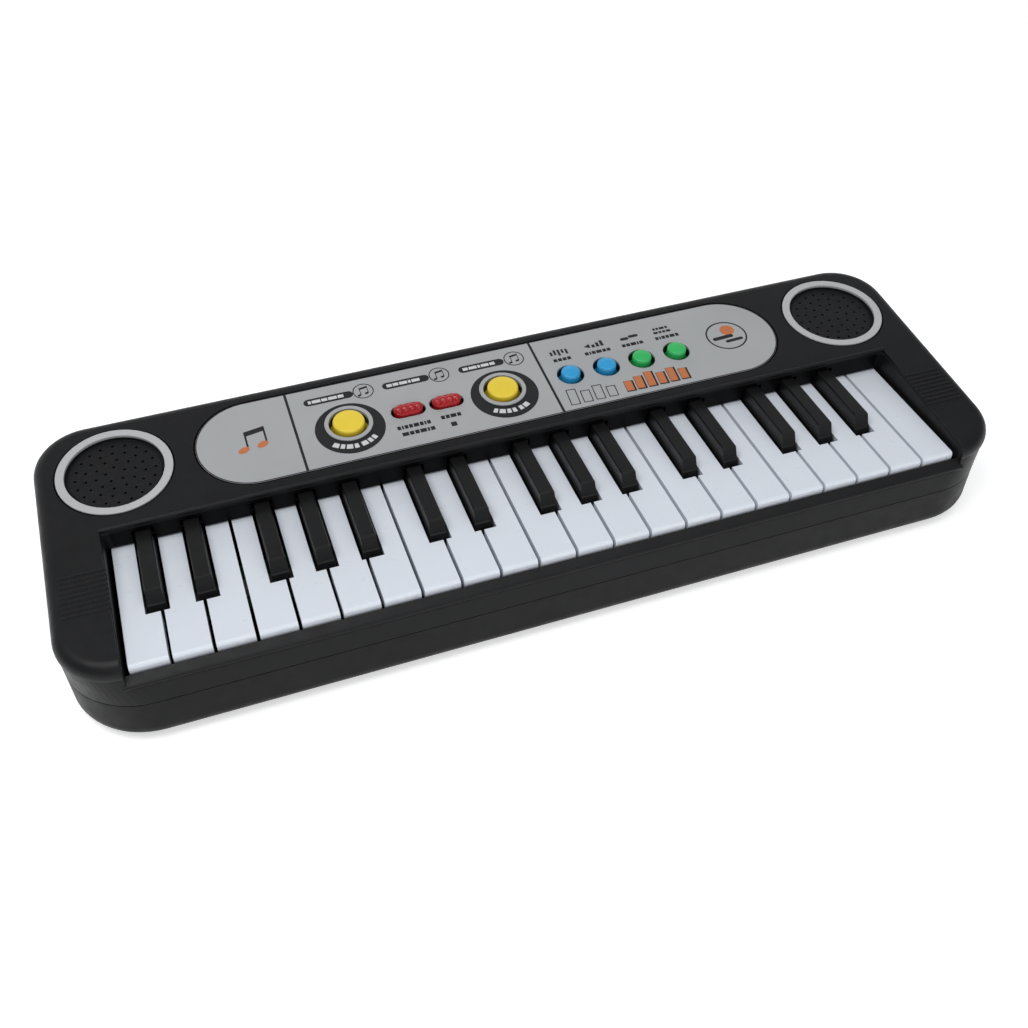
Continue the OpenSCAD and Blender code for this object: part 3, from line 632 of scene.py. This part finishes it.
BADGE_R, BADGE_LINE, BADGE_FLAT = 10.1, 0.8, 0.965


def right_badge():
    """Thin oval with an orange dot and two short bars."""
    u, v = panel_point(17.98, 1.965)
    oval = [circle(u, v, radius, BADGE_FLAT, 64) for radius in (BADGE_R, BADGE_R - BADGE_LINE)]
    print_marks("badge_oval", INK_BLACK, bands=[oval])
    print_marks("badge_dot", INK_ORANGE, plates=[circle(u + 1.9, v + 3.4, 3.5)])
    print_marks("badge_bars", INK_BLACK, plates=[bar(u - 2.2, v - 0.9, 5.4, 1.1, 0.05, True),
                                                 bar(u + 2.4, v - 3.9, 4.6, 0.9, 0.05, True)])


DIVIDERS_N = (5.215, 12.32)
DIVIDER_HALF_W, DIVIDER_HALF_L = 0.6, 24.5


def divider_lines():
    """Dark paint that fills the engraved lines between the fields."""
    lines = [bar(panel_point(n, 0)[0], 0, DIVIDER_HALF_W, DIVIDER_HALF_L) for n in DIVIDERS_N]
    print_marks("divider_paint", INK_BLACK, plates=lines, low=-0.34, high=0.02)


SPEAKER_RING_R = 24.2
SPEAKER_V = 0.5


def paint_groove_shade():
    """Painted shade: near-black bands sunk in the grooves round the panel and the speaker rings, and a black
    line at the panel's edge that widens the painted shade of the groove."""
    half_length = (panel_hi.x - panel_lo.x) / 2 / MM
    half_width = panel_half_s / MM
    rims = [bar(0, 0, half_length + grow, half_width + grow, round_ends=True, steps=48)
            for grow in (0.85, 0.06, -0.04, -0.5)]
    # Painted shade at the bottom of the groove round the panel.
    print_marks("panel_groove_painted_shade", SHADOW, bands=[rims[:2]], low=-1.15, high=-0.25)
    # Painted shade: a black line on the panel's edge that widens the dark groove line.
    print_marks("panel_edge_painted_shade", INK_BLACK, bands=[rims[2:]])
    ring_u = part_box("speaker_rings")[1].x / MM - SPEAKER_RING_R
    rings = [[circle(side * ring_u, SPEAKER_V, SPEAKER_RING_R + grow, count=96) for grow in (0.74, 0.06)]
             for side in (-1, 1)]
    # Painted shade in the grooves round the speaker rings.
    print_marks("ring_groove_painted_shade", SHADOW, bands=rings, low=-0.85, high=-0.2)


def ink_material(name, colour, rough, specular=0.3):
    """Printed ink, also used as painted shade: uneven cover and a very fine grain."""
    n = Nodes(name)
    paler = tuple(min(1.0, c * 1.12 + 0.004) for c in colour)
    n.link(n.ramp(n.noise(900, 4), colour, paler, low=0.25, high=0.75), n.bsdf.inputs["Base Color"])
    n.link(n.spread(n.noise(400, 3), rough - 0.08, rough + 0.08), n.bsdf.inputs["Roughness"])
    n.link(n.bump(n.noise(9000, 2), 0.01 * MM), n.bsdf.inputs["Normal"])
    n.bsdf.inputs["Specular IOR Level"].default_value = specular
    return n.mat


INK_BLACK = ink_material("ink_black", (0.0085, 0.0088, 0.0098), 0.5)
INK_PALE = ink_material("ink_pale", (0.55, 0.56, 0.56), 0.45)
INK_ORANGE = ink_material("ink_orange", (0.47, 0.15, 0.055), 0.45)
# Near-black ink used as painted shade in the grooves.
SHADOW = ink_material("groove_painted_shade", (0.0010, 0.0010, 0.0011), 0.8, specular=0.04)
yellow_discs()
left_mark()
label_strips()
red_captions()
small_captions()
lower_ornament()
right_badge()
divider_lines()
paint_groove_shade()

# ---------------------------------------------------------------- studio


def studio_floor():
    """A pale floor far larger than the view, rising softly behind."""
    mesh = bpy.data.meshes.new("floor")
    half, back, rise, radius = 3.0, 1.6, 2.2, 0.8
    steps = 16
    profile = [(-half, 0.0), (back, 0.0)]
    profile += [(back + radius * math.sin(a), radius * (1 - math.cos(a)))
                for a in (math.pi / 2 * k / steps for k in range(1, steps + 1))]
    profile.append((back + radius, rise))
    verts = [(x, y, z) for x in (-half, half) for y, z in profile]
    count = len(profile)
    faces = [(k, count + k, count + k + 1, k + 1) for k in range(count - 1)]
    mesh.from_pydata(verts, [], faces)
    for face in mesh.polygons:
        face.use_smooth = True
    floor = bpy.data.objects.new("floor", mesh)
    bpy.context.scene.collection.objects.link(floor)
    n = Nodes("floor_paper")
    paper = n.ramp(n.noise(6, 2), (0.80, 0.80, 0.80), (0.83, 0.83, 0.83))
    n.link(paper, n.bsdf.inputs["Base Color"])
    n.bsdf.inputs["Roughness"].default_value = 0.9
    n.bsdf.inputs["Emission Color"].default_value = (1, 1, 1, 1)
    n.bsdf.inputs["Emission Strength"].default_value = 0.5
    mesh.materials.append(n.mat)


LIT_POINT = Vector((0, 0, 0.03))


def area_light(name, place, size, power):
    """A rectangular light that looks at the middle of the object."""
    data = bpy.data.lights.new(name, "AREA")
    data.shape = "RECTANGLE"
    data.size, data.size_y = size
    data.energy = power
    light = bpy.data.objects.new(name, data)
    light.location = place
    light.rotation_euler = (LIT_POINT - Vector(place)).to_track_quat("-Z", "Y").to_euler()
    bpy.context.scene.collection.objects.link(light)


def studio_world():
    """A faint even light from all round."""
    world = bpy.data.worlds.new("studio")
    world.use_nodes = True
    background = world.node_tree.nodes["Background"]
    background.inputs["Color"].default_value = (0.93, 0.95, 1.0, 1)
    background.inputs["Strength"].default_value = 0.28
    bpy.context.scene.world = world


def camera():
    """The camera stands to the player's left and looks down at the keys."""
    azimuth, elevation, roll = math.radians(19.147), math.radians(44.468), math.radians(-0.355)
    distance = 0.48268
    key_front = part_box("white_key_01")[0].y
    target = Vector((-0.017187, key_front + 0.029417, 0.03713))
    ahead = Vector((math.sin(azimuth) * math.cos(elevation), math.cos(azimuth) * math.cos(elevation),
                    -math.sin(elevation)))
    right = Vector((math.cos(azimuth), -math.sin(azimuth), 0))
    up = right.cross(ahead)
    rolled_right = right * math.cos(roll) + up * math.sin(roll)
    rolled_up = up * math.cos(roll) - right * math.sin(roll)
    data = bpy.data.cameras.new("camera")
    data.sensor_width = 36
    data.lens = 40.0
    data.clip_start = 0.01
    eye = bpy.data.objects.new("camera", data)
    rows = Matrix((rolled_right, rolled_up, -ahead)).transposed().to_4x4()
    eye.matrix_world = Matrix.Translation(target - ahead * distance) @ rows
    bpy.context.scene.collection.objects.link(eye)
    bpy.context.scene.camera = eye


studio_floor()
area_light("key_light", (-0.42, -0.12, 0.97), (0.6, 0.5), 4.6)
area_light("front_fill", (0.25, -1.2, 0.7), (1.4, 0.7), 4.6)
area_light("top_soft", (0.3, -0.3, 1.45), (1.2, 1.0), 4.2)
studio_world()
bpy.context.scene.view_settings.view_transform = "Standard"
camera()
